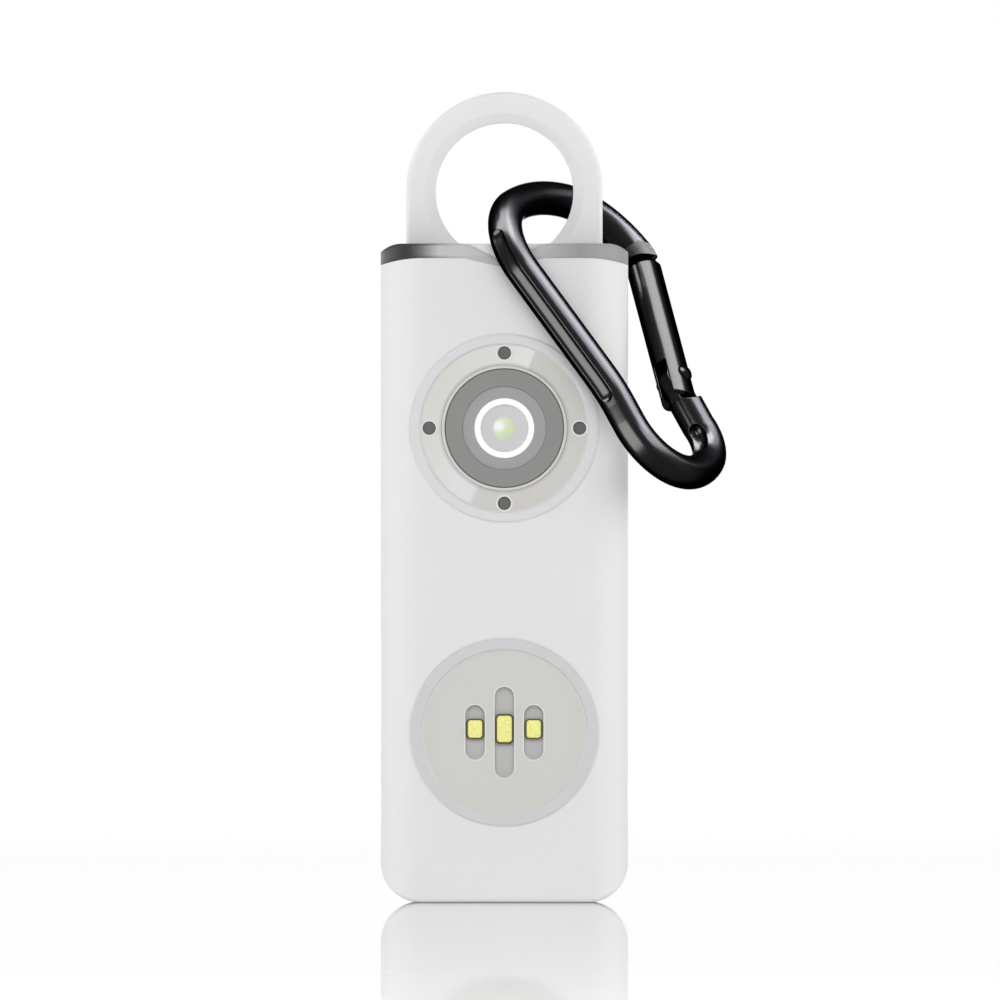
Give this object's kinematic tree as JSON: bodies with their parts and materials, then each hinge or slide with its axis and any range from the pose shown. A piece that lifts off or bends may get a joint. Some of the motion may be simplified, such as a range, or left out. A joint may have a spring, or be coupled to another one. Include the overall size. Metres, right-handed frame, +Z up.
{
  "type": "personal safety alarm",
  "caption": "Slim upright safety alarm with a pull ring on top, a round light button, a round slotted strobe and siren grille, and a spring-gate carabiner through the ring.",
  "frame": {"origin": "middle of the casing's flat underside", "axes": "+Z up along the casing towards the pull ring, -Y out of the front face with the button and grille, +X to the viewer's right"},
  "size_m": [0.0405, 0.026, 0.0949],
  "materials": {
    "white_shell": "fine satin moulding",
    "gunmetal_cap": "brushed, smoky",
    "frosted_plastic": "frosted",
    "frosted_trim": "frosted",
    "spun_bezel": "spun",
    "dark_button": "satin",
    "step_grey": "satin",
    "halo_white": "smooth",
    "torch_lens": "clear, diffusing back",
    "grille_grey": "satin",
    "slot_floor": "matt",
    "led_frame": "smooth",
    "led_yellow": "phosphor gel",
    "led_white": "phosphor gel",
    "black_plastic": "matt",
    "board_green": "solder mask",
    "screw_steel": "plated",
    "spring_steel": "wire",
    "contact_metal": "plated",
    "piezo_brass": "bright",
    "ceramic_white": "silvered",
    "ferrite": "sintered",
    "can_metal": "drawn",
    "cell_steel": "bright nickel",
    "pad_rubber": "foam",
    "blade_black": "nylon",
    "carabiner_black": "gloss black lacquer",
    "rivet_metal": "dark plated"
  },
  "bodies": {
    "casing": {"front_shell": "white_shell", "back_shell": "white_shell", "top_cap": "gunmetal_cap", "casing_screws": "screw_steel", "upper_trim_ring": "frosted_trim", "bezel_plate": "spun_bezel", "button_spring": "spring_steel", "tact_switch": "black_plastic", "torch_led": "led_white", "lower_trim_ring": "frosted_trim", "grille_plate": "grille_grey", "strobe_board": "slot_floor", "strobe_led_left": "led_frame", "strobe_led_centre": "led_frame", "strobe_led_right": "led_frame", "strobe_lens_left": "led_yellow", "strobe_lens_centre": "led_yellow", "strobe_lens_right": "led_yellow", "sounder_housing": "black_plastic", "piezo_disc": "piezo_brass", "piezo_ceramic": "ceramic_white", "main_board": "board_green", "board_screws": "screw_steel", "controller_chip": "black_plastic", "driver_transistor": "black_plastic", "resistors": "black_plastic", "boost_transformer": "ferrite", "storage_capacitor": "can_metal", "contact_block": "black_plastic", "switch_leaf_front": "contact_metal", "switch_leaf_back": "contact_metal", "coin_cell_1": "cell_steel", "coin_cell_2": "cell_steel", "battery_contact_negative": "contact_metal", "battery_contact_positive": "contact_metal", "battery_door": "white_shell", "battery_door_screw": "screw_steel", "door_pad": "pad_rubber"},
    "light_button": {"button_cap": "dark_button", "button_step": "step_grey", "button_halo": "halo_white", "torch_lens": "torch_lens", "switch_plunger": "black_plastic"},
    "ring_assembly": {"pull_ring": "frosted_plastic", "activation_blade": "blade_black"},
    "carabiner": {"carabiner_frame": "carabiner_black"},
    "gate": {"carabiner_gate": "carabiner_black", "gate_rivet": "rivet_metal", "gate_plunger": "rivet_metal", "gate_spring": "spring_steel"}
  },
  "joints": [
    {"name": "button_press", "type": "slide", "parent": "casing", "child": "light_button", "axis": [0, 1, 0], "range_m": [0, 0.00035], "stiffness_N_per_m": 300, "springref_m": -0.002, "deforming": ["button_spring"]},
    {"name": "ring_pull", "type": "slide", "parent": "casing", "child": "ring_assembly", "axis": [0, 0, 1], "range_m": [0, 0.016]},
    {"name": "carabiner_swing", "type": "hinge", "parent": "ring_assembly", "child": "carabiner", "pos_m": [0.00255, 0, 0.08222], "axis": [-0.379, -0.8653, -0.3279], "range_deg": [0, 180]},
    {"name": "gate_open", "type": "hinge", "parent": "carabiner", "child": "gate", "pos_m": [0.01986, 0.00243, 0.06103], "axis": [0.698, -0.5, 0.5127], "range_deg": [0, 15], "stiffness_Nm_per_rad": 0.05, "springref_deg": -17.19}
  ]
}
